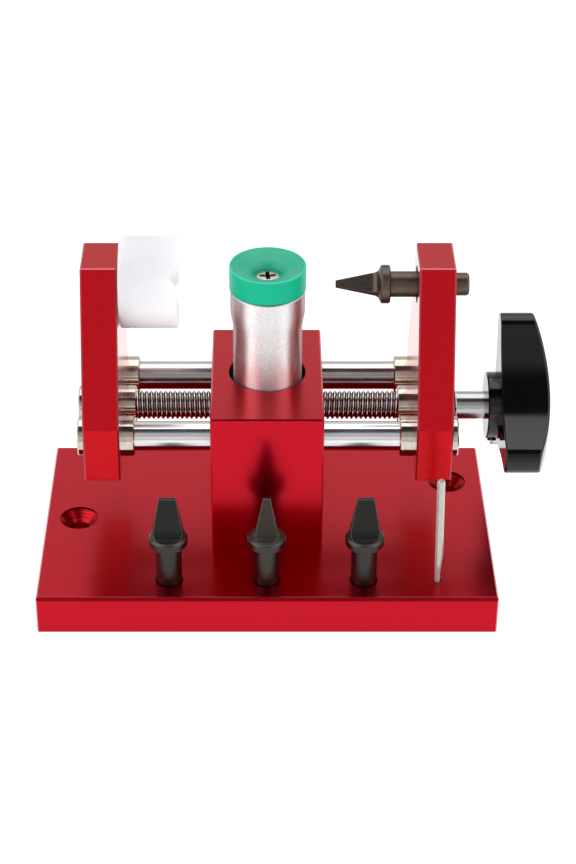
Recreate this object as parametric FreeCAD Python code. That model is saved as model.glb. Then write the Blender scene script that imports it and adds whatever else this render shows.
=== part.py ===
import os
import math
import FreeCAD
import Part
from FreeCAD import Vector as V

os.makedirs("parts", exist_ok=True)

# ---------------------------------------------------------------- dimensions
# millimetres; origin at the centre of the base underside, X right, Y back, Z up
BASE_W, BASE_D, BASE_T = 150.0, 89.0, 13.7
FRONT_CH, EDGE_CH = 1.0, 0.5             # front top edge, other top edges
YC = 11.2                              # centre plane of the block and the jaws
HOLE_C = (-0.5, 11.8)                  # middle of the two diagonal bench holes
HOLE_X, HOLE_DY = 63.4, 11.0
HOLE_R, SINK_R, SINK_D = 3.3, 6.5, 0.9

BLK_HX, BLK_Y0, BLK_Y1, BLK_Z1 = 18.4, -17.45, 40.3, 65.1
SOCKET_X, SOCKET_Y, SOCKET_R, SOCKET_D = 0.1, 12.5, 12.7, 5.5

AX_Z = 52.7                            # height of the screw and the guide rods
ROD_DY, ROD_R, ROD_HX = 19.0, 4.9, 61.7
FIT = 0.05                             # radial running fit

SCREW_R, SHAFT_R = 4.9, 4.7
SCREW_X0, SCREW_X1, SHAFT_X1 = -62.4, 63.2, 86.0
GROOVE_R, GROOVE_HW = 3.6, 1.9

JAW_X = {"left": (47.85, 59.65), "right": (48.45, 60.2)}    # inner and outer face, from the middle
JAW_TOP, JAW_KINK, JAW_BOT = 109.4, 60.6, 41.1
JAW_TOP_HW, JAW_HW = 9.0, 28.25
BUSH_R, BUSH_X0, NUT_X0 = 6.65, 43.2, 43.4
BUSH_END = {"left": 61.8, "right": 62.4}
NUT_X1 = 62.7
TOOL_Z = {"left": 99.85, "right": 98.95} # axis of the rest and of the fitted blade
SHANK_R, SHANK_L = 4.2, 25.5

REST_R, REST_X0, REST_X1 = 15.0, -47.5, -28.8
REST_FILLET = 1.0
VEE_HALF, VEE_DEPTH, VEE_TILT, VEE_OFF = 4.6, 3.1, 42.0, -1.2

FLANGE_R, FLANGE_T, NOSE_TOP = 6.3, 3.1, 17.6
BLADE_X = 39.7                         # back face of the fitted blade's flange
SPARE_Y, SPARE_SINK = -33.8, 11.1
SPARE_X = (-32.0, -0.15, 31.6)

DRV_X, DRV_Y, DRV_TOP, DRV_AF = 55.25, -34.4, 53.0, 2.25
DRV_Z0, DRV_TIP_R, DRV_TIP_OFF = 3.2, 0.9, -0.38
DRV_LEAN = 1.2                         # degrees; the driver stands loose in its hole

HOLD_X, HOLD_Y = 0.2, 11.55            # axis of the post, which stands loose in the socket
POST_WAIST_R, POST_TOP_R = 11.35, 12.15
POST_Z0, POST_Z1 = 59.65, 97.3
FLARE_Z0, FLARE_Z1 = 83.2, 89.7
CUP_R, CUP_Z1 = 12.5, 105.8
CUP_FLOOR_Z = 101.5
THROAT_R, LIP_R, LIP_Z = 4.4, 5.25, 103.2
HEAD_R = 4.0

KNOB_X0, KNOB_APEX, KNOB_DOME_R = 77.4, 94.3, 86.0
KNOB_R, TIP_R, FLANK_MID = 31.2, 5.2, 13.65                # lobe tips, their rounding, middle of a flank
LOBE_ANGLES = (68.5, 188.5, 308.5)
HUB_R, HUB_X0 = 11.25, 73.2


# ---------------------------------------------------------------- helpers
def cyl_x(r, x0, x1, y=YC, z=AX_Z):
    return Part.makeCylinder(r, x1 - x0, V(x0, y, z), V(1, 0, 0))


def cyl_z(r, z0, z1, x, y):
    return Part.makeCylinder(r, z1 - z0, V(x, y, z0), V(0, 0, 1))


def cyl_y(r, y0, y1, x, z):
    return Part.makeCylinder(r, y1 - y0, V(x, y0, z), V(0, 1, 0))


def box(x0, x1, y0, y1, z0, z1):
    return Part.makeBox(x1 - x0, y1 - y0, z1 - z0, V(x0, y0, z0))


def hexbar(af, z0, z1):
    r = af / math.sqrt(3)
    pts = [V(r * math.cos(math.radians(60 * i)), r * math.sin(math.radians(60 * i)), z0)
           for i in range(6)]
    return Part.Face(Part.makePolygon(pts + [pts[0]])).extrude(V(0, 0, z1 - z0))


def revolved(profile, x=0.0, y=0.0):
    pts = [V(x + r, y, z) for r, z in profile]
    return Part.Face(Part.makePolygon(pts + [pts[0]])).revolve(V(x, y, 0), V(0, 0, 1), 360)


def one(shape):
    shape = shape.removeSplitter()
    return shape.Solids[0] if len(shape.Solids) == 1 else shape


def placed(shape, pos, zdir):
    s = shape.copy()
    rot = FreeCAD.Rotation(V(0, 0, 1), V(*zdir))
    s.Placement = FreeCAD.Placement(V(*pos), rot)
    return s


def chamfer(shape, size, pick):
    edges = [e for e in shape.Edges if pick(e.BoundBox)]
    return shape.makeChamfer(size, edges)


def out(name, shape):
    shape.exportStep("parts/%s.step" % name)


# ---------------------------------------------------------------- base plate
base = box(-BASE_W / 2, BASE_W / 2, -BASE_D / 2, BASE_D / 2, 0, BASE_T)
base = chamfer(base, 0.4, lambda b: b.ZLength > BASE_T - 0.01)
base = chamfer(base, EDGE_CH, lambda b: b.ZMin > BASE_T - 0.01)
base = chamfer(base, 0.2, lambda b: b.ZMax < 0.01)
yf = -BASE_D / 2
wedge = [V(-80, yf - 1, BASE_T - FRONT_CH - 1), V(-80, yf + FRONT_CH - 0.06, BASE_T - 0.06),
         V(-80, yf + FRONT_CH + 0.14, BASE_T), V(-80, yf + FRONT_CH + 0.14, BASE_T + 1), V(-80, yf - 1, BASE_T + 1)]
base = base.cut(Part.Face(Part.makePolygon(wedge + [wedge[0]])).extrude(V(160, 0, 0)))
for sx in (-1, 1):
    hx, hy = HOLE_C[0] + sx * HOLE_X, HOLE_C[1] + sx * HOLE_DY
    base = base.cut(cyl_z(HOLE_R, -1, BASE_T + 1, hx, hy))
    base = base.cut(cyl_z(SINK_R, BASE_T - SINK_D, BASE_T + 1, hx, hy))
    base = base.cut(Part.makeCone(HOLE_R, SINK_R, SINK_R - HOLE_R,
                                  V(hx, hy, BASE_T - SINK_D - (SINK_R - HOLE_R)), V(0, 0, 1)))
for sx in SPARE_X:
    base = base.cut(cyl_z(SHANK_R + FIT, BASE_T - SPARE_SINK - 0.1, BASE_T + 1, sx, SPARE_Y))
    base = base.cut(Part.makeCone(SHANK_R + FIT, SHANK_R + FIT + 0.4, 0.4,
                                  V(sx, SPARE_Y, BASE_T - 0.4), V(0, 0, 1)))
drv_shift = (DRV_TOP - (DRV_Z0 + BASE_T) / 2) * math.sin(math.radians(DRV_LEAN))
base = base.cut(cyl_z(DRV_TIP_R + 0.35, DRV_Z0 - 0.2, BASE_T + 1, DRV_X + DRV_TIP_OFF + drv_shift, DRV_Y))
BOLTS = [(sx * 11.5, YC + sx * 19.0) for sx in (-1, 1)]
for bx, by in BOLTS:
    base = base.cut(cyl_z(2.75, -1, BASE_T + 1, bx, by))
    base = base.cut(cyl_z(4.75, -1, 5.6, bx, by))
out("base_plate", one(base))

# ---------------------------------------------------------------- centre block
block = box(-BLK_HX, BLK_HX, BLK_Y0, BLK_Y1, BASE_T, BLK_Z1)
block = chamfer(block, 0.5, lambda b: b.ZMax > BASE_T + 1)
block = block.cut(cyl_z(SOCKET_R, BLK_Z1 - SOCKET_D, BLK_Z1 + 1, SOCKET_X, SOCKET_Y))
block = block.cut(Part.makeCone(SOCKET_R, SOCKET_R + 0.15, 0.15,
                                V(SOCKET_X, SOCKET_Y, BLK_Z1 - 0.15), V(0, 0, 1)))
for sy in (-1, 1):
    block = block.cut(cyl_x(ROD_R, -30, 30, YC + sy * ROD_DY))
    block = block.cut(cyl_z(2.5, BASE_T - 1, AX_Z, 0, YC + sy * ROD_DY))
block = block.cut(cyl_x(SCREW_R + 0.4, -30, 30))
BUSH_IN_R = 5.8
for sx in (-1, 1):
    x0, x1 = sorted((sx * 9.95, sx * 19.0))
    block = block.cut(cyl_x(BUSH_IN_R, x0, x1))
block = block.cut(cyl_z(2.5, BASE_T - 1, AX_Z, 0, YC))
for bx, by in BOLTS:
    block = block.cut(cyl_z(2.5, BASE_T - 1, BASE_T + 14, bx, by))
out("centre_block", one(block))

# socket-head screws that hold the block from below
screws = []
for bx, by in BOLTS:
    s = cyl_z(4.25, 0.5, 5.6, bx, by).fuse(cyl_z(2.5, 5.5, BASE_T + 12.0, bx, by))
    h = hexbar(4.0, 0.0, 3.0)
    h.translate(V(bx, by, 0.0))
    screws.append(one(s.cut(h)))
out("block_screws", Part.makeCompound(screws))

# ---------------------------------------------------------------- guide rods
for name, sy in (("front_guide_rod", -1), ("rear_guide_rod", 1)):
    rod = cyl_x(ROD_R, -ROD_HX, ROD_HX, YC + sy * ROD_DY)
    rod = chamfer(rod, 0.5, lambda b: b.XLength < 0.01)
    out(name, rod)

# grub screws under the rods, inside the block
grubs = []
for sy in (-1, 1):
    g = cyl_z(2.5, AX_Z - ROD_R - 8.0, AX_Z - ROD_R - 0.02, 0, YC + sy * ROD_DY)
    h = hexbar(2.5, AX_Z - ROD_R - 8.5, AX_Z - ROD_R - 5.5)
    h.translate(V(0, YC + sy * ROD_DY, 0))
    grubs.append(one(g.cut(h)))
out("rod_grub_screws", Part.makeCompound(grubs))

# journal bushes of the lead screw, at both ends of the block's bore
for name, sx in (("screw_bush_left", -1), ("screw_bush_right", 1)):
    x0, x1 = sorted((sx * 10.0, sx * 17.9))
    out(name, cyl_x(BUSH_IN_R, x0, x1).cut(cyl_x(SCREW_R + FIT, -30, 30)))

# dog-point screw that rides in the groove of the lead screw
ret = cyl_z(2.5, 36.5, AX_Z - SCREW_R - 0.45, 0, YC)
ret = ret.fuse(cyl_z(1.55, 40.0, AX_Z - GROOVE_R - 0.35, 0, YC))
hx = hexbar(2.5, 36.0, 39.0)
hx.translate(V(0, YC, 0))
out("screw_retainer", one(ret.cut(hx)))

# ---------------------------------------------------------------- lead screw
screw = cyl_x(SCREW_R, SCREW_X0, SCREW_X1)
screw = chamfer(screw, 0.7, lambda b: b.XMax < SCREW_X0 + 0.1)
screw = screw.fuse(cyl_x(SHAFT_R, SCREW_X1 - 1, SHAFT_X1))
screw = screw.cut(cyl_x(SCREW_R + 1, -GROOVE_HW, GROOVE_HW).cut(
    cyl_x(GROOVE_R, -GROOVE_HW - 1, GROOVE_HW + 1)))
out("lead_screw", one(screw))

# ---------------------------------------------------------------- knob
def pol(angle, r, off):
    c, s = math.cos(math.radians(angle)), math.sin(math.radians(angle))
    return V(KNOB_X0, YC + r * c - off * s, AX_Z + r * s + off * c)


# each flank is a hollow arc that runs tangent into the rounded tips
tip_d = KNOB_R - TIP_R
h = FLANK_MID - TIP_R
flank_d = (tip_d ** 2 - h ** 2) / (tip_d - 2 * h)
outline = []
for i, a in enumerate(LOBE_ANGLES):
    c, n = pol(a, tip_d, 0), pol(a + 120, tip_d, 0)
    f_prev, f_next = pol(a - 60, flank_d, 0), pol(a + 60, flank_d, 0)
    t_in = c + (f_prev - c).normalize() * TIP_R
    t_out = c + (f_next - c).normalize() * TIP_R
    n_in = n + (f_next - n).normalize() * TIP_R
    outline.append(Part.Arc(t_in, pol(a, KNOB_R, 0), t_out).toShape())
    outline.append(Part.Arc(t_out, pol(a + 60, FLANK_MID, 0), n_in).toShape())
star = Part.Face(Part.Wire(outline)).extrude(V(20, 0, 0))
dome = Part.makeSphere(KNOB_DOME_R, V(KNOB_APEX - KNOB_DOME_R, YC, AX_Z))
star = star.common(dome)
rim = [e for e in star.Edges if e.BoundBox.XMin > KNOB_X0 + 5]
star = star.makeFillet(0.9, rim)
back = [e for e in star.Edges if e.BoundBox.XMax < KNOB_X0 + 0.01]
star = star.makeFillet(0.5, back)
hub = cyl_x(HUB_R, HUB_X0, KNOB_X0 + 1)
hub = chamfer(hub, 0.4, lambda b: b.XMax < HUB_X0 + 0.01)
knob = star.fuse(hub)
INS_R, INS_X0, INS_X1 = 7.5, 74.4, 87.0
knob = knob.cut(cyl_x(INS_R, INS_X0, INS_X1)).cut(cyl_x(SHAFT_R + 0.03, HUB_X0 - 1, INS_X0 + 1))
GD = (0.0, -0.545, -0.8385)
GX = 75.3
knob = knob.cut(placed(Part.makeCylinder(1.5, 20), (GX, YC, AX_Z), GD))
out("knob", one(knob))

insert = cyl_x(INS_R, INS_X0, INS_X1).cut(cyl_x(SHAFT_R, HUB_X0 - 1, SHAFT_X1))
insert = insert.cut(placed(Part.makeCylinder(1.5, 20), (GX, YC, AX_Z), GD))
out("knob_insert", one(insert))

grub = Part.makeCylinder(1.5, HUB_R + 0.7 - SHAFT_R - 0.02, V(0, 0, SHAFT_R + 0.02))
grub = grub.cut(hexbar(1.5, HUB_R - 1.3, HUB_R + 2))
out("knob_set_screw", placed(grub, (GX, YC, AX_Z), GD))

# ---------------------------------------------------------------- jaws
for side, sx in (("left", -1), ("right", 1)):
    prof = [(-JAW_HW, JAW_BOT), (JAW_HW, JAW_BOT), (JAW_HW, JAW_KINK), (JAW_TOP_HW, JAW_TOP),
            (-JAW_TOP_HW, JAW_TOP), (-JAW_HW, JAW_KINK)]
    inner, outer = JAW_X[side]
    xa, xb = sorted((sx * inner, sx * outer))
    pts = [V(xa, YC + y, z) for y, z in prof]
    jaw = Part.Face(Part.makePolygon(pts + [pts[0]])).extrude(V(xb - xa, 0, 0))
    jaw = chamfer(jaw, 0.5, lambda b: b.XLength < 0.01 or b.ZMax < JAW_BOT + 0.01)
    for dy in (-ROD_DY, 0.0, ROD_DY):
        jaw = jaw.cut(cyl_x(BUSH_R, xa - 1, xb + 1, YC + dy))
    # the top front and back edges are broken mostly along the top
    for s in (-1, 1):
        e0 = YC + s * JAW_TOP_HW
        tri = [V(xa - 1, e0 - s * 0.5, JAW_TOP), V(xa - 1, e0 + s * 0.08, JAW_TOP - 0.2),
               V(xa - 1, e0 + s * 0.66, JAW_TOP - 0.4), V(xa - 1, e0 + s * 0.66, JAW_TOP + 1),
               V(xa - 1, e0 - s * 0.5, JAW_TOP + 1)]
        jaw = jaw.cut(Part.Face(Part.makePolygon(tri + [tri[0]])).extrude(V(xb - xa + 2, 0, 0)))
    tz = TOOL_Z[side]
    jaw = jaw.cut(cyl_x(SHANK_R + FIT, xa - 1, xb + 1, YC, tz))
    r0, r1 = sorted((sx * (inner - 1.0), sx * (inner + 1.0)))
    jaw = jaw.cut(cyl_x(6.2, r0, r1, YC, tz))
    jx = (xa + xb) / 2
    jaw = jaw.cut(cyl_y(2.5, YC, YC + 20, jx, tz))
    out("%s_jaw" % side, one(jaw))
    for name, dy in (("front", -ROD_DY), ("rear", ROD_DY)):
        b0, b1 = sorted((sx * BUSH_X0, sx * BUSH_END[side]))
        b = cyl_x(BUSH_R, b0, b1, YC + dy)
        b = chamfer(b, 0.4, lambda q: q.XLength < 0.01)
        out("%s_%s_bush" % (side, name), b.cut(cyl_x(ROD_R + FIT, b0 - 1, b1 + 1, YC + dy)))
    n0, n1 = sorted((sx * NUT_X0, sx * NUT_X1))
    n = chamfer(cyl_x(BUSH_R, n0, n1), 0.4, lambda q: q.XLength < 0.01)
    out("%s_nut" % side, n.cut(cyl_x(SCREW_R + FIT, n0 - 1, n1 + 1)))
    c = cyl_y(2.5, YC + SHANK_R + 0.2, YC + 11.0, jx, tz)
    h = placed(hexbar(2.5, 0, 4), (jx, YC + 8.4, tz), (0, 1, 0))
    out("%s_clamp_screw" % side, one(c.cut(h)))

# ---------------------------------------------------------------- white rest
rest = cyl_x(REST_R, REST_X0, REST_X1, YC, TOOL_Z["left"])
rest = rest.makeFillet(REST_FILLET, [e for e in rest.Edges
                                     if e.BoundBox.XLength < 0.01 and e.BoundBox.XMax < REST_X0 + 0.1])
rest = rest.makeFillet(0.35, [e for e in rest.Edges
                              if e.BoundBox.XLength < 0.01 and e.BoundBox.XMin > REST_X1 - 0.1])
vee_pts = [V(REST_X1 + 1, -40, VEE_HALF * (1 + 1 / VEE_DEPTH)),
           V(REST_X1 - VEE_DEPTH, -40, 0),
           V(REST_X1 + 1, -40, -VEE_HALF * (1 + 1 / VEE_DEPTH))]
vee = Part.Face(Part.makePolygon(vee_pts + [vee_pts[0]])).extrude(V(0, 80, 0))
vee.translate(V(0, 0, VEE_OFF))
vee.rotate(V(0, 0, 0), V(1, 0, 0), -VEE_TILT)
vee.translate(V(0, YC, TOOL_Z["left"]))
rest = rest.cut(vee)
rest = rest.fuse(cyl_x(SHANK_R, -JAW_X["left"][1] + 1.0, REST_X0 + 1, YC, TOOL_Z["left"]))
out("v_rest", one(rest))


# ---------------------------------------------------------------- blades
def blade(wide):
    # turned nose with two ground flats; each flat runs out at its foot in a hollow arc
    if wide:
        prof = [(0, FLANGE_T), (FLANGE_R - 0.45, FLANGE_T), (5.4, FLANGE_T + 0.5), (5.2, FLANGE_T + 1.2),
                (2.8, NOSE_TOP), (0, NOSE_TOP)]
        t_lo, t_hi, arc_r, foot = 1.5, 0.6, 3.4, 0.3
    else:
        prof = [(0, FLANGE_T), (FLANGE_R - 0.45, FLANGE_T), (4.4, FLANGE_T + 0.7), (3.85, FLANGE_T + 1.6),
                (1.2, NOSE_TOP), (0, NOSE_TOP)]
        t_lo, t_hi, arc_r, foot = 1.5, 0.45, 2.5, 0.5
    nose = revolved(prof)
    z1 = FLANGE_T + foot + arc_r
    for s in (-1, 1):
        def q(y, z):
            return V(-20, s * y, z)
        k = (t_lo - t_hi) / (NOSE_TOP - z1)
        c45 = arc_r * math.cos(math.radians(45))
        edges = [Part.makeLine(q(t_hi - k, NOSE_TOP + 1), q(t_lo, z1)),
                 Part.Arc(q(t_lo, z1), q(t_lo + arc_r - c45, z1 - c45), q(t_lo + arc_r, z1 - arc_r)).toShape(),
                 Part.makeLine(q(t_lo + arc_r, z1 - arc_r), q(20, z1 - arc_r)),
                 Part.makeLine(q(20, z1 - arc_r), q(20, NOSE_TOP + 1)),
                 Part.makeLine(q(20, NOSE_TOP + 1), q(t_hi - k, NOSE_TOP + 1))]
        nose = nose.cut(Part.Face(Part.Wire(edges)).extrude(V(40, 0, 0)))
    c = 0.4
    body = revolved([(0, 0), (FLANGE_R - c, 0), (FLANGE_R, c), (FLANGE_R, FLANGE_T - c),
                     (FLANGE_R - c, FLANGE_T), (0, FLANGE_T)])
    shank = revolved([(0, -SHANK_L), (SHANK_R - 1.0, -SHANK_L), (SHANK_R - 0.45, -SHANK_L + 0.6),
                      (SHANK_R - 0.45, -SHANK_L + 4.6), (SHANK_R, -SHANK_L + 5.0),
                      (SHANK_R, 0.2), (0, 0.2)])
    return one(body.fuse([nose, shank]))


for name, i, wide in (("spare_blade_left", 0, True), ("spare_blade_middle", 1, False),
                      ("spare_blade_right", 2, True)):
    b = blade(wide)
    b.translate(V(SPARE_X[i], SPARE_Y, BASE_T - SPARE_SINK + SHANK_L))
    out(name, b)

fb = blade(False)
fb.rotate(V(0, 0, 0), V(0, 0, 1), 90)
fb.rotate(V(0, 0, 0), V(0, 1, 0), -90)
fb.rotate(V(0, 0, 0), V(1, 0, 0), 42)
fb.translate(V(BLADE_X, YC, TOOL_Z["right"]))
out("fitted_blade", fb)

# ---------------------------------------------------------------- driver
TAPER_Z = BASE_T + 12.0
drv = hexbar(DRV_AF, TAPER_Z - 6, DRV_TOP).common(
    revolved([(0, TAPER_Z - 6), (DRV_AF / 2 + 0.3, TAPER_Z - 6), (DRV_AF / 2 + 0.3, DRV_TOP - 0.3),
              (DRV_AF / 2 - 0.05, DRV_TOP), (0, DRV_TOP)]))
neck = revolved([(0, DRV_Z0), (0.5, DRV_Z0), (DRV_TIP_R, DRV_Z0 + 1.6), (DRV_TIP_R, BASE_T + 3.0),
                 (DRV_AF / 2 + 0.65, TAPER_Z), (DRV_AF / 2 + 0.65, TAPER_Z + 1), (0, TAPER_Z + 1)], DRV_TIP_OFF, 0)
drv = drv.common(box(-5, 5, -5, 5, TAPER_Z, DRV_TOP + 1)).fuse(
    neck.common(hexbar(DRV_AF, DRV_Z0 - 1, TAPER_Z + 1)))
for ang in (45, 135):
    for s in (0, 180):
        q = box(0.3, 3, 0.3, 3, DRV_Z0 - 1, DRV_Z0 + 3.5)
        q.rotate(V(0, 0, 0), V(0, 0, 1), ang + s)
        q.translate(V(DRV_TIP_OFF, 0, 0))
        drv = drv.cut(q)
drv.rotate(V(0, 0, DRV_TOP), V(0, 1, 0), -DRV_LEAN)
drv.translate(V(DRV_X, DRV_Y, 0))
out("cross_driver", one(drv))

# ---------------------------------------------------------------- post, cup
prof = [(0, POST_Z0), (POST_WAIST_R - 0.4, POST_Z0), (POST_WAIST_R, POST_Z0 + 0.4),
        (POST_WAIST_R, FLARE_Z0)]
N = 12
for i in range(1, N + 1):
    t = i / N
    s = t * t * (3 - 2 * t)
    prof.append((POST_WAIST_R + (POST_TOP_R - POST_WAIST_R) * s, FLARE_Z0 + (FLARE_Z1 - FLARE_Z0) * t))
prof += [(POST_TOP_R, POST_Z1 - 0.3), (POST_TOP_R - 0.3, POST_Z1), (2.0, POST_Z1), (2.0, 80.0), (0, 80.0)]
out("holder_post", one(revolved(prof, HOLD_X, HOLD_Y)))

prof = [(2.1, POST_Z1), (CUP_R - 0.55, POST_Z1), (CUP_R, POST_Z1 + 0.45), (CUP_R, CUP_Z1 - 0.4),
        (CUP_R - 0.12, CUP_Z1 - 0.12), (CUP_R - 0.4, CUP_Z1)]
RIM_IN = 11.7
for i in range(0, 13):
    t = i / 12.0
    prof.append((RIM_IN + (LIP_R - RIM_IN) * t,
                 CUP_Z1 - 0.08 - (CUP_Z1 - 0.08 - LIP_Z) * (0.7 * t + 0.3 * t ** 3)))
prof += [(LIP_R - 0.3, LIP_Z - 0.3), (LIP_R - 0.55, LIP_Z - 0.7), (THROAT_R + 0.08, LIP_Z - 1.2),
         (THROAT_R, CUP_FLOOR_Z), (HEAD_R + 0.05, CUP_FLOOR_Z), (2.1, CUP_FLOOR_Z - 1.75)]
out("holder_cup", one(revolved(prof, HOLD_X, HOLD_Y)))

hs = revolved([(0, 84.0), (1.6, 84.0), (2.0, 84.6), (2.0, CUP_FLOOR_Z - 1.8), (HEAD_R, CUP_FLOOR_Z - 0.03),
               (HEAD_R - 0.06, CUP_FLOOR_Z + 0.12), (HEAD_R - 0.5, CUP_FLOOR_Z + 0.3),
               (HEAD_R - 1.6, CUP_FLOOR_Z + 0.48), (0, CUP_FLOOR_Z + 0.55)], HOLD_X, HOLD_Y)
for a in (4, 94):
    q = box(-2.6, 2.6, -0.65, 0.65, CUP_FLOOR_Z - 1.1, CUP_FLOOR_Z + 1)
    q.rotate(V(0, 0, 0), V(0, 0, 1), a)
    q.translate(V(HOLD_X, HOLD_Y, 0))
    hs = hs.cut(q)
hs = hs.cut(Part.makeCone(0.6, 1.45, 1.9, V(HOLD_X, HOLD_Y, CUP_FLOOR_Z - 1.3), V(0, 0, 1)))
out("cup_screw", one(hs))
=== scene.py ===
import math
import bpy
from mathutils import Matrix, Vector


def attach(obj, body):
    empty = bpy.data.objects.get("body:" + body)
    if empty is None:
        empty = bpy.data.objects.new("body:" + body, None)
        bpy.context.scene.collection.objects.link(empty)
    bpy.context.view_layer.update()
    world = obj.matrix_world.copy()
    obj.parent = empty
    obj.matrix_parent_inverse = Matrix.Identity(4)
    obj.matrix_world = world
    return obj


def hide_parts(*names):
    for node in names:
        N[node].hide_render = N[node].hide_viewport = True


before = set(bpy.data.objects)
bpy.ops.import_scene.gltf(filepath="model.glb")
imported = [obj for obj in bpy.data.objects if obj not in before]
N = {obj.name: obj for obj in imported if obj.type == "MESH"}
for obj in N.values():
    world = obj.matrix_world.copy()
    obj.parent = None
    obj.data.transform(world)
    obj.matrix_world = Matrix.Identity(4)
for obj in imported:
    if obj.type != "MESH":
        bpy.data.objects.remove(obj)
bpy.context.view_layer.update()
MM = 0.001
sc = bpy.context.scene
sc.view_settings.view_transform = "Standard"
sc.view_settings.look = "None"

YC, AX_Z = 11.2, 52.7


# ------------------------------------------------------------------ materials
def new_mat(name):
    m = bpy.data.materials.new(name)
    m.use_nodes = True
    nt = m.node_tree
    bsdf = nt.nodes["Principled BSDF"]
    return m, nt, bsdf


def link(nt, a, b):
    nt.links.new(a, b)


def coords(nt, scale=(1, 1, 1), rot=(0, 0, 0)):
    tc = nt.nodes.new("ShaderNodeTexCoord")
    mp = nt.nodes.new("ShaderNodeMapping")
    mp.inputs["Scale"].default_value = scale
    mp.inputs["Rotation"].default_value = rot
    link(nt, tc.outputs["Object"], mp.inputs["Vector"])
    return mp.outputs["Vector"]


def noise(nt, vec, scale, detail=3.0, rough=0.55):
    n = nt.nodes.new("ShaderNodeTexNoise")
    n.inputs["Scale"].default_value = scale
    n.inputs["Detail"].default_value = detail
    n.inputs["Roughness"].default_value = rough
    link(nt, vec, n.inputs["Vector"])
    return n.outputs["Fac"]


def ramp(nt, fac, stops):
    r = nt.nodes.new("ShaderNodeValToRGB")
    el = r.color_ramp.elements
    while len(el) < len(stops):
        el.new(0.5)
    for e, (p, c) in zip(el, stops):
        e.position = p
        e.color = (*c, 1.0) if len(c) == 3 else c
    link(nt, fac, r.inputs["Fac"])
    return r.outputs["Color"]


def rng(nt, fac, lo, hi, a=0.3, b=0.7):
    r = nt.nodes.new("ShaderNodeMapRange")
    r.inputs["From Min"].default_value = a
    r.inputs["From Max"].default_value = b
    r.inputs["To Min"].default_value = lo
    r.inputs["To Max"].default_value = hi
    link(nt, fac, r.inputs["Value"])
    return r.outputs["Result"]


def bump(nt, height, bsdf, strength, dist, soft=0.0):
    b = nt.nodes.new("ShaderNodeBump")
    b.inputs["Strength"].default_value = strength
    b.inputs["Distance"].default_value = dist
    link(nt, height, b.inputs["Height"])
    if soft:
        # edges read as slightly rounded, by this radius in mm
        e = nt.nodes.new("ShaderNodeBevel")
        e.samples = 6
        e.inputs["Radius"].default_value = soft * MM
        link(nt, e.outputs["Normal"], b.inputs["Normal"])
    link(nt, b.outputs["Normal"], bsdf.inputs["Normal"])


def mix_col(nt, fac, a, b):
    m = nt.nodes.new("ShaderNodeMix")
    m.data_type = "RGBA"
    link(nt, fac, m.inputs[0])
    link(nt, a, m.inputs[6])
    link(nt, b, m.inputs[7])
    return m.outputs[2]


def math2(nt, op, a, b):
    m = nt.nodes.new("ShaderNodeMath")
    m.operation = op
    link(nt, a, m.inputs[0])
    if b is not None:
        link(nt, b, m.inputs[1])
    return m.outputs[0]


def band(nt, fac, lo, hi, soft=0.06):
    """1 where lo < fac < hi, else 0."""
    return ramp(nt, fac, [(0.0, (0, 0, 0)), (max(0.0, lo - soft), (0, 0, 0)), (lo, (1, 1, 1)), (hi, (1, 1, 1)),
                          (min(1.0, hi + soft), (0, 0, 0)), (1.0, (0, 0, 0))])


def axis_dist(nt, loc, keep):
    """Distance of the shaded point from the line through loc (mm) along the axis that keep drops."""
    tc = nt.nodes.new("ShaderNodeTexCoord")
    mp = nt.nodes.new("ShaderNodeMapping")
    mp.inputs["Scale"].default_value = keep
    mp.inputs["Location"].default_value = tuple(-c * MM * k for c, k in zip(loc, keep))
    link(nt, tc.outputs["Object"], mp.inputs["Vector"])
    ln = nt.nodes.new("ShaderNodeVectorMath")
    ln.operation = "LENGTH"
    link(nt, mp.outputs["Vector"], ln.inputs[0])
    return ln.outputs["Value"]


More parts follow.
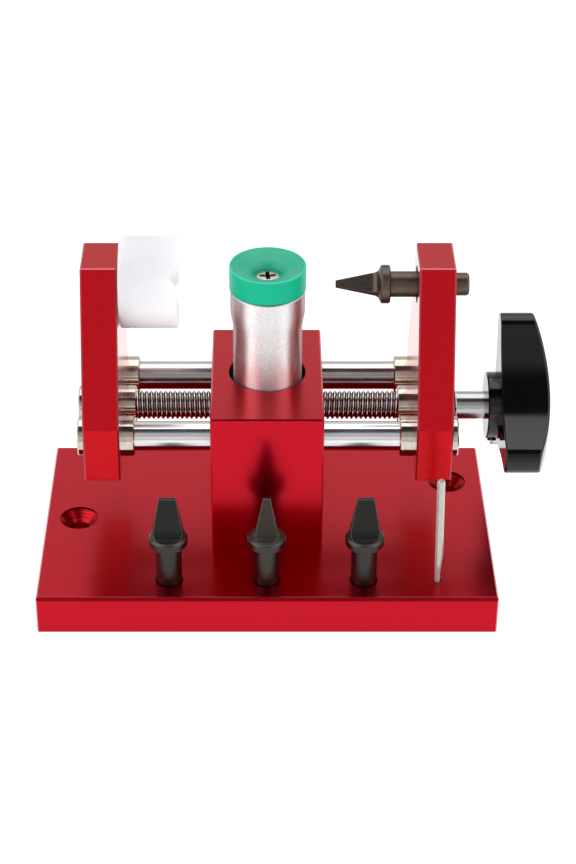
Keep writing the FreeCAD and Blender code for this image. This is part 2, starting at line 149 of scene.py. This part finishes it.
def metal(name, lo, hi, r_lo, r_hi, scale=400.0, stretch=(1, 1, 1), bump_s=0.0, bump_d=2e-5,
          metallic=1.0, coat=0.0, coat_r=0.1, coat_ior=1.5, spec=0.5, nose=None, soft=0.0,
          shade_wells=(), well_shade_lo=None, well_shade_hi=None, aniso=0.0, turned="Z", side_edge_painted_light=None, top_edge_painted_light=None, worn=None):
    m, nt, b = new_mat(name)
    v = coords(nt, stretch)
    n1 = noise(nt, v, scale)
    v2 = coords(nt)
    n2 = noise(nt, v2, 35.0, 2.0)
    col = ramp(nt, n1, [(0.3, lo), (0.7, hi)])
    if nose is not None:
        # a second tone past one plane of the piece: (axis, from mm, to mm, low tone, high tone[, metallic])
        tc = nt.nodes.new("ShaderNodeTexCoord")
        sp = nt.nodes.new("ShaderNodeSeparateXYZ")
        link(nt, tc.outputs["Object"], sp.inputs["Vector"])
        f = rng(nt, sp.outputs[nose[0]], 0.0, 1.0, nose[1] * MM, nose[2] * MM)
        col = mix_col(nt, f, col, ramp(nt, n1, [(0.35, nose[3]), (0.7, nose[4])]))
    if side_edge_painted_light is not None or top_edge_painted_light is not None:
        # the chamfers carry painted reflections, paler or darker than the faces: painted highlights and painted
        # shade, told apart by the way they face
        ge = nt.nodes.new("ShaderNodeNewGeometry")
        gn = nt.nodes.new("ShaderNodeSeparateXYZ")
        link(nt, ge.outputs["True Normal"], gn.inputs["Vector"])
        if side_edge_painted_light is not None:
            f = band(nt, math2(nt, "ABSOLUTE", gn.outputs["X"], None), 0.55, 0.85, 0.03)
            col = mix_col(nt, f, col, ramp(nt, n1, [(0.3, tuple(0.9 * c for c in side_edge_painted_light)), (0.7, side_edge_painted_light)]))
        if top_edge_painted_light is not None:
            f = band(nt, gn.outputs["Z"], 0.935, 0.978, 0.004)
            col = mix_col(nt, f, col, ramp(nt, n1, [(0.3, tuple(0.9 * c for c in top_edge_painted_light)), (0.7, top_edge_painted_light)]))
    if worn is not None:
        # the sharp edges are rubbed bright
        be = nt.nodes.new("ShaderNodeBevel")
        be.samples = 8
        be.inputs["Radius"].default_value = 0.22 * MM
        gg = nt.nodes.new("ShaderNodeNewGeometry")
        dp = nt.nodes.new("ShaderNodeVectorMath")
        dp.operation = "DOT_PRODUCT"
        link(nt, be.outputs["Normal"], dp.inputs[0])
        link(nt, gg.outputs["Normal"], dp.inputs[1])
        f = rng(nt, dp.outputs["Value"], 1.0, 0.0, 0.86, 0.99)
        col = mix_col(nt, f, col, ramp(nt, n2, [(0.3, tuple(0.7 * c for c in worn)), (0.7, worn)]))
    for x, y, r in shade_wells:
        # the walls of a hole: painted shade, darker, with turning rings down its depth
        rings = noise(nt, coords(nt, (0.0, 0.0, 1.0)), 2600.0, 1.0)
        d = axis_dist(nt, (x, y, 0.0), (1.0, 1.0, 0.0))
        col = mix_col(nt, rng(nt, d, 1.0, 0.0, (r - 0.04) * MM, r * MM), col, ramp(nt, rings, [(0.4, well_shade_lo), (0.6, well_shade_hi)]))
    link(nt, col, b.inputs["Base Color"])
    link(nt, rng(nt, n2, r_lo, r_hi), b.inputs["Roughness"])
    b.inputs["Metallic"].default_value = metallic
    if nose is not None and len(nose) > 5:
        link(nt, rng(nt, sp.outputs[nose[0]], metallic, nose[5], nose[1] * MM, nose[2] * MM), b.inputs["Metallic"])
    b.inputs["Specular IOR Level"].default_value = spec
    b.inputs["Coat Weight"].default_value = coat
    b.inputs["Coat Roughness"].default_value = coat_r
    b.inputs["Coat IOR"].default_value = coat_ior
    if bump_s:
        bump(nt, n1, b, bump_s, bump_d, soft)
    if aniso:
        # turned about one axis: reflections are drawn out along it
        tg = nt.nodes.new("ShaderNodeTangent")
        tg.direction_type = "RADIAL"
        tg.axis = turned
        link(nt, tg.outputs["Tangent"], b.inputs["Tangent"])
        # the flat ends are not drawn out
        ae = nt.nodes.new("ShaderNodeNewGeometry")
        an = nt.nodes.new("ShaderNodeSeparateXYZ")
        link(nt, ae.outputs["True Normal"], an.inputs["Vector"])
        link(nt, rng(nt, math2(nt, "ABSOLUTE", an.outputs[turned], None), aniso, 0.0, 0.35, 0.60), b.inputs["Anisotropic"])
        b.inputs["Anisotropic Rotation"].default_value = 0.25
    return m


M = {}
# painted shade for the walls of the holes
WELL_SHADE = {"well_shade_lo": (0.22, 0.0012, 0.004), "well_shade_hi": (0.50, 0.004, 0.011)}
# base: the side chamfers are painted pale pink, a painted highlight, and the top break dark red, a painted shade
M["red"] = metal("red_anodised", (0.455, 0.0022, 0.0125), (0.485, 0.0028, 0.0145), 0.25, 0.28, 2500.0,
                 bump_s=0.03, coat=1.0, coat_r=0.16, coat_ior=1.162, soft=0.15,
                 shade_wells=((-63.9, 0.8, 6.52), (62.9, 22.8, 6.52)), side_edge_painted_light=(0.60, 0.15, 0.18), top_edge_painted_light=(0.24, 0.03, 0.04), **WELL_SHADE)
# the post's socket in the block is painted nearly black: painted shade
M["red_block"] = metal("red_anodised_block", (0.455, 0.0022, 0.0125), (0.485, 0.0028, 0.0145), 0.25, 0.28, 2500.0,
                       bump_s=0.03, coat=1.0, coat_r=0.16, coat_ior=1.162, soft=0.15, shade_wells=((0.1, 12.5, 12.75),),
                       well_shade_lo=(0.020, 0.0006, 0.001), well_shade_hi=(0.035, 0.001, 0.002))
# jaws: the side chamfers are painted darker, a painted shade, and the top break pale pink, a painted highlight
M["red_jaw"] = metal("red_anodised_brushed", (0.45, 0.0024, 0.0070), (0.53, 0.0032, 0.0095), 0.30, 0.34, 3200.0,
                     stretch=(1.0, 1.0, 0.15), bump_s=0.06, coat=1.0, coat_r=0.15, coat_ior=1.17, soft=0.12,
                     side_edge_painted_light=(0.34, 0.030, 0.040), top_edge_painted_light=(0.40, 0.11, 0.13))
M["chrome"] = metal("chromed_rod", (0.66, 0.66, 0.67), (0.74, 0.74, 0.75), 0.16, 0.19, 300.0, stretch=(0.2, 1, 1), aniso=0.95, turned="X")
# the rear rod is darker than the front one; above z 54.6 to 56.2 mm its top is painted lighter: a painted highlight
M["chrome2"] = metal("darker_chromed_rod_painted_highlight", (0.28, 0.237, 0.228), (0.34, 0.290, 0.280), 0.17, 0.20, 300.0, stretch=(0.2, 1, 1),
                     nose=("Z", 54.6, 56.2, (0.50, 0.475, 0.465), (0.56, 0.535, 0.525)), aniso=0.95, turned="X")
M["nickel"] = metal("nickel_bush", (0.50, 0.44, 0.375), (0.62, 0.56, 0.49), 0.08, 0.13, 500.0)
# everything below z 101.5 mm, the cup screw's cross recess, is painted dark: painted shade
M["screw"] = metal("machine_screw", (0.52, 0.485, 0.43), (0.68, 0.64, 0.575), 0.22, 0.30, 900.0,
                   nose=("Z", 101.60, 101.50, (0.07, 0.055, 0.038), (0.14, 0.11, 0.08)))
M["black"] = metal("black_oxide", (0.036, 0.035, 0.033), (0.058, 0.056, 0.052), 0.28, 0.36, 2600.0, bump_s=0.05,
                   nose=("Z", 31.3, 31.6, (0.008, 0.008, 0.0075), (0.017, 0.0165, 0.0155), 0.1), spec=0.16, soft=0.2, worn=(0.34, 0.32, 0.29))
M["black2"] = metal("black_oxide_worn", (0.042, 0.039, 0.035), (0.066, 0.061, 0.054), 0.28, 0.36, 2600.0, bump_s=0.05,
                    nose=("Z", 31.2, 31.6, (0.022, 0.0185, 0.014), (0.040, 0.034, 0.027), 0.1), spec=0.16, soft=0.2, worn=(0.30, 0.28, 0.25))
M["brown"] = metal("brown_oxide", (0.085, 0.066, 0.053), (0.13, 0.102, 0.082), 0.34, 0.42, 1800.0, bump_s=0.06,
                   nose=("X", 36.8, 36.4, (0.074, 0.059, 0.051), (0.122, 0.099, 0.085)), soft=0.2, worn=(0.22, 0.19, 0.165))
M["blast"] = metal("blasted_aluminium", (0.70, 0.69, 0.69), (0.98, 0.975, 0.975), 0.36, 0.40, 2100.0, bump_s=0.60,
                   aniso=0.85)
pnt = M["blast"].node_tree
# towards its outline the grey skin of the metal reflects less
pnt.nodes["Principled BSDF"].inputs["Specular Tint"].default_value = (0.16, 0.06, 0.06, 1.0)
ptc = pnt.nodes.new("ShaderNodeTexCoord")
pmp = pnt.nodes.new("ShaderNodeMapping")
pmp.inputs["Scale"].default_value = (1.0, 1.0, 0.0)
pmp.inputs["Location"].default_value = (-0.2 * MM, -11.55 * MM, 0.0)
link(pnt, ptc.outputs["Object"], pmp.inputs["Vector"])
pvt = pnt.nodes.new("ShaderNodeVectorTransform")
pvt.vector_type = "NORMAL"
pvt.convert_from = "OBJECT"
pvt.convert_to = "WORLD"
link(pnt, pmp.outputs["Vector"], pvt.inputs["Vector"])
pnv = pnt.nodes.new("ShaderNodeVectorMath")
pnv.operation = "NORMALIZE"
link(pnt, pvt.outputs["Vector"], pnv.inputs[0])
pge = pnt.nodes.new("ShaderNodeNewGeometry")
psp = pnt.nodes.new("ShaderNodeSeparateXYZ")
link(pnt, pge.outputs["Normal"], psp.inputs["Vector"])
pmx = pnt.nodes.new("ShaderNodeMix")
pmx.data_type = "VECTOR"
link(pnt, rng(pnt, math2(pnt, "ABSOLUTE", psp.outputs["Z"], None), 0.8, 0.0, 0.30, 0.60), pmx.inputs[0])
link(pnt, pge.outputs["Normal"], pmx.inputs[4])
link(pnt, pnv.outputs["Vector"], pmx.inputs[5])
pbu = [n for n in pnt.nodes if n.bl_idname == "ShaderNodeBump"][0]
link(pnt, pmx.outputs[1], pbu.inputs["Normal"])
M["bronze"] = metal("bronze_bush", (0.50, 0.34, 0.16), (0.62, 0.45, 0.22), 0.25, 0.32, 700.0)
M["driver"] = metal("nickel_driver", (0.42, 0.390, 0.355), (0.56, 0.522, 0.480), 0.16, 0.22, 900.0, bump_s=0.03,
                    metallic=0.32, soft=0.06)
M["knob"] = metal("black_gloss", (0.0014, 0.0014, 0.0016), (0.0030, 0.0030, 0.0034), 0.06, 0.14, 700.0, stretch=(0.6, 1.0, 0.10), bump_s=0.10, bump_d=1.5e-5,
                  metallic=0.0, spec=0.42)
M["nylon"] = metal("white_nylon", (0.690, 0.675, 0.722), (0.715, 0.700, 0.747), 0.36, 0.44, 700.0, metallic=0.0,
                   bump_s=0.03, spec=0.3, soft=0.3)
nnt = M["nylon"].node_tree
nb = nnt.nodes["Principled BSDF"]
nb.inputs["Subsurface Weight"].default_value = 1.0
nb.inputs["Subsurface Radius"].default_value = (1.0, 0.95, 1.0)
nb.inputs["Subsurface Scale"].default_value = 0.025

ng = nnt.nodes.new("ShaderNodeNewGeometry")
nz = nnt.nodes.new("ShaderNodeSeparateXYZ")
link(nnt, ng.outputs["Normal"], nz.inputs["Vector"])
grain = noise(nnt, coords(nnt), 700.0)
# painted light: faces turned down are painted lighter and faces turned up darker
under_painted_light = ramp(nnt, grain, [(0.3, (0.825, 0.810, 0.845)), (0.7, (0.850, 0.835, 0.870))])
upper_painted_shade = ramp(nnt, grain, [(0.3, (0.612, 0.606, 0.645)), (0.7, (0.632, 0.626, 0.665))])
link(nnt, mix_col(nnt, rng(nnt, nz.outputs["Z"], 0.0, 1.0, -0.45, 0.95), under_painted_light, upper_painted_shade), nb.inputs["Base Color"])

# cup: the dish is painted darker and paler than the wall, painted shade and painted sheen, and shows turning marks;
# the rim carries a painted highlight
HX, HY = 0.2, 11.55
cm, cnt, cb = new_mat("green_plastic")
rad = axis_dist(cnt, (HX, HY, 0.0), (1.0, 1.0, 0.0))
fine = noise(cnt, coords(cnt), 1500.0)
lnv = cnt.nodes.new("ShaderNodeCombineXYZ")
link(cnt, rad, lnv.inputs["X"])
turn = noise(cnt, lnv.outputs["Vector"], 1800.0, 2.0)
wall = ramp(cnt, fine, [(0.3, (0.0015, 0.420, 0.240)), (0.7, (0.0022, 0.455, 0.262))])
dish = ramp(cnt, turn, [(0.35, (0.004, 0.30, 0.180)), (0.65, (0.012, 0.385, 0.243))])
# painted highlight: the rim's lip is painted light green
lip = ramp(cnt, fine, [(0.3, (0.05, 0.56, 0.36)), (0.7, (0.07, 0.60, 0.40))])
sz = cnt.nodes.new("ShaderNodeSeparateXYZ")
czc = cnt.nodes.new("ShaderNodeTexCoord")
link(cnt, czc.outputs["Object"], sz.inputs["Vector"])
c1 = mix_col(cnt, rng(cnt, rad, 1.0, 0.0, 11.65 * MM, 11.80 * MM), wall, dish)
rim_z = rng(cnt, sz.outputs["Z"], 0.0, 1.0, 105.60 * MM, 105.68 * MM)
rim_r = rng(cnt, rad, 0.0, 1.0, 12.04 * MM, 12.11 * MM)
c1 = mix_col(cnt, math2(cnt, "MULTIPLY", rim_z, rim_r), c1, lip)
# the lowest edge of the wall is in the shade of the seam above the post
seam = rng(cnt, sz.outputs["Z"], 1.0, 0.0, 97.80 * MM, 98.05 * MM)
c1 = mix_col(cnt, seam, c1, ramp(cnt, fine, [(0.3, (0.001, 0.070, 0.040)), (0.7, (0.0015, 0.085, 0.050))]))
link(cnt, c1, cb.inputs["Base Color"])
link(cnt, rng(cnt, turn, 0.28, 0.36), cb.inputs["Roughness"])
link(cnt, rng(cnt, rad, 0.36, 0.16, 11.65 * MM, 11.80 * MM), cb.inputs["Specular IOR Level"])
bump(cnt, turn, cb, 0.06, 2e-5, 0.25)
M["green"] = cm

# thread: painted highlights on the crests and roots and painted shade on the flanks, by the distance from the screw's
# axis
tm, tnt, tb = new_mat("cut_thread")
depth = rng(tnt, axis_dist(tnt, (0.0, YC, AX_Z), (0.0, 1.0, 1.0)), 0.0, 1.0, 4.0 * MM, 4.88 * MM)
link(tnt, ramp(tnt, depth, [(0.0, (0.29, 0.29, 0.295)), (0.26, (0.24, 0.24, 0.245)), (0.44, (0.045, 0.045, 0.046)),
                            (0.66, (0.055, 0.055, 0.056)), (0.82, (0.62, 0.62, 0.625)), (1.0, (0.86, 0.86, 0.86))]), tb.inputs["Base Color"])
link(tnt, rng(tnt, noise(tnt, coords(tnt), 700.0), 0.15, 0.21), tb.inputs["Roughness"])
tb.inputs["Metallic"].default_value = 1.0
M["thread"] = tm

ASSIGN = {
    "base_plate": "red", "centre_block": "red_block", "left_jaw": "red_jaw", "right_jaw": "red_jaw",
    "front_guide_rod": "chrome", "rear_guide_rod": "chrome2",
    "block_screws": "black", "rod_grub_screws": "black", "screw_retainer": "black",
    "left_clamp_screw": "black", "right_clamp_screw": "black",
    "screw_bush_left": "bronze", "screw_bush_right": "bronze", "knob_insert": "bronze",
    "left_front_bush": "nickel", "left_rear_bush": "nickel", "left_nut": "nickel",
    "right_front_bush": "nickel", "right_rear_bush": "nickel", "right_nut": "nickel",
    "knob": "knob", "knob_set_screw": "screw", "lead_screw": "thread", "cup_screw": "screw",
    "v_rest": "nylon", "fitted_blade": "brown", "holder_post": "blast", "holder_cup": "green",
    "spare_blade_left": "black", "spare_blade_middle": "black2", "spare_blade_right": "black",
    "cross_driver": "driver",
}
for node, key in ASSIGN.items():
    o = N[node]
    o.data.materials.clear()
    o.data.materials.append(M[key])


# ------------------------------------------------------------------ lead screw with its two threads
def ring_mesh(name, stations, rfun, seg):
    """Closed tube along X about the screw axis; rfun(x, angle) gives the radius in mm."""
    verts, faces = [], []
    for x in stations:
        for j in range(seg):
            a = 2 * math.pi * j / seg
            r = rfun(x, a)
            verts.append((x * MM, (YC + r * math.cos(a)) * MM, (AX_Z + r * math.sin(a)) * MM))
    n = len(stations)
    for i in range(n - 1):
        for j in range(seg):
            k = (j + 1) % seg
            faces.append((i * seg + j, i * seg + k, (i + 1) * seg + k, (i + 1) * seg + j))
    for i, flip in ((0, True), (n - 1, False)):
        c = len(verts)
        verts.append((stations[i] * MM, YC * MM, AX_Z * MM))
        for j in range(seg):
            k = (j + 1) % seg
            faces.append((c, i * seg + k, i * seg + j) if flip else (c, i * seg + j, i * seg + k))
    me = bpy.data.meshes.new(name)
    me.from_pydata(verts, [], faces)
    me.validate()
    me.update()
    ob = bpy.data.objects.new(name, me)
    sc.collection.objects.link(ob)
    return ob


PITCH, DEPTH, R_T, R_S = 1.59, 0.88, 4.88, 4.68


def smooth(t):
    t = max(0.0, min(1.0, t))
    return t * t * (3 - 2 * t)


def screw_r(x, a):
    if x > 63.2:
        return R_S
    if abs(x) < 1.9:
        return 3.62
    if abs(x) < 17.9:
        return R_T
    if x < -61.7:
        base = R_T - 0.7 * smooth((-61.7 - x) / 0.7)
    else:
        base = R_T
    fade = smooth((abs(x) - 17.9) / 1.2)
    if x > 0:
        fade *= smooth((63.1 - x) / 1.0)
    hand = 1.0 if x < 0 else -1.0
    f = (x / PITCH - hand * a / (2 * math.pi)) % 1.0
    tri = abs(2 * f - 1)
    tri = min(1.0, max(0.0, (tri - 0.10) / 0.78))
    return base - DEPTH * fade * tri


st = []
x = -62.4
while x < -17.9:
    st.append(x)
    x += PITCH / 8
st += [-17.9, -17.8, -10.0, -2.0, -1.901, -1.899, -1.8, 1.8, 1.899, 1.901, 2.0, 10.0, 17.8, 17.9]
x = 17.9 + PITCH / 8
while x < 63.1:
    st.append(x)
    x += PITCH / 8
st += [63.12, 63.199, 63.201, 63.3, 64.0, 75.0, 86.0]
screw = ring_mesh("lead_screw_threaded", st, screw_r, 48)
screw.data.materials.append(M["thread"])
for p in screw.data.polygons:
    p.use_smooth = True
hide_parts("lead_screw")
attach(screw, "spindle")

# ------------------------------------------------------------------ floor, light, camera
bpy.ops.mesh.primitive_plane_add(size=12.0, location=(0, 0, -0.0001))
floor = bpy.context.object
floor.name = "floor"
fm, fnt, fb = new_mat("pale_floor")
fv = coords(fnt)
link(fnt, ramp(fnt, noise(fnt, fv, 3.0), [(0.3, (0.24, 0.24, 0.24)), (0.7, (0.26, 0.26, 0.26))]), fb.inputs["Base Color"])
fb.inputs["Roughness"].default_value = 0.9
fb.inputs["Specular IOR Level"].default_value = 0.1
fb.inputs["Emission Color"].default_value = (1.0, 1.0, 1.0, 1.0)
fb.inputs["Emission Strength"].default_value = 0.95
floor.data.materials.append(fm)

w = bpy.data.worlds.new("studio")
sc.world = w
w.use_nodes = True
wn = w.node_tree
wn.nodes.clear()
wo = wn.nodes.new("ShaderNodeOutputWorld")
bg = wn.nodes.new("ShaderNodeBackground")
tc = wn.nodes.new("ShaderNodeTexCoord")
sx = wn.nodes.new("ShaderNodeSeparateXYZ")
wn.links.new(tc.outputs["Generated"], sx.inputs["Vector"])


def g(v):
    return (v, v, v)


def el(deg):
    return math.sin(math.radians(deg))


back = ramp(wn, sx.outputs["Z"], [(0.0, g(0.80)), (el(30), g(0.80)), (el(42), g(0.82)), (el(49), g(2.1)), (1.0, g(2.1))])
front = ramp(wn, sx.outputs["Z"], [(0.0, g(0.55)), (el(7), g(0.85)), (el(22), g(0.85)), (el(31), g(0.52)),
                                   (el(48), g(0.48)), (el(54), g(0.28)), (el(60), g(0.05)), (1.0, g(0.04))])
side = wn.nodes.new("ShaderNodeMapRange")
side.inputs["From Min"].default_value = -0.04
side.inputs["From Max"].default_value = 0.02
wn.links.new(sx.outputs["Y"], side.inputs["Value"])
mx = wn.nodes.new("ShaderNodeMix")
mx.data_type = "RGBA"
wn.links.new(side.outputs["Result"], mx.inputs[0])
wn.links.new(front, mx.inputs[6])
wn.links.new(back, mx.inputs[7])
# the sides of the room are bright
ab = wn.nodes.new("ShaderNodeMath")
ab.operation = "ABSOLUTE"
wn.links.new(sx.outputs["X"], ab.inputs[0])
flank = ramp(wn, ab.outputs[0], [(0.0, g(0.0)), (0.45, g(0.0)), (0.70, g(1.0)), (1.0, g(1.0))])
lat = ramp(wn, sx.outputs["Z"], [(0.0, g(0.8)), (0.5, g(0.9)), (1.0, g(1.1))])
mx2 = wn.nodes.new("ShaderNodeMix")
mx2.data_type = "RGBA"
wn.links.new(flank, mx2.inputs[0])
wn.links.new(mx.outputs[2], mx2.inputs[6])
wn.links.new(lat, mx2.inputs[7])
wn.links.new(mx2.outputs[2], bg.inputs["Color"])
bg.inputs["Strength"].default_value = 1.0
wn.links.new(bg.outputs["Background"], wo.inputs["Surface"])


def area(name, loc, target, size, power):
    d = bpy.data.lights.new(name, "AREA")
    d.shape = "SQUARE"
    d.size = size
    d.energy = power
    o = bpy.data.objects.new(name, d)
    o.location = loc
    o.rotation_euler = (Vector(target) - Vector(loc)).to_track_quat("-Z", "Y").to_euler()
    sc.collection.objects.link(o)
    return o


area("left_box", (-0.66, -0.30, 0.45), (0, 0.0, 0.06), 1.0, 3.9)
area("right_box", (0.66, -0.30, 0.45), (0, 0.0, 0.06), 1.0, 2.6)

cam = bpy.data.cameras.new("camera")
cam.sensor_width = 36.0
cam.lens = 2140.27 * 36.0 / 864.0
cam.shift_x = 27.95 / 864.0
co = bpy.data.objects.new("camera", cam)
co.location = (-0.002283, -0.59483, 0.43679)
co.rotation_euler = (math.radians(90.0 - 33.092), 0.0, 0.0)
sc.collection.objects.link(co)
sc.camera = co
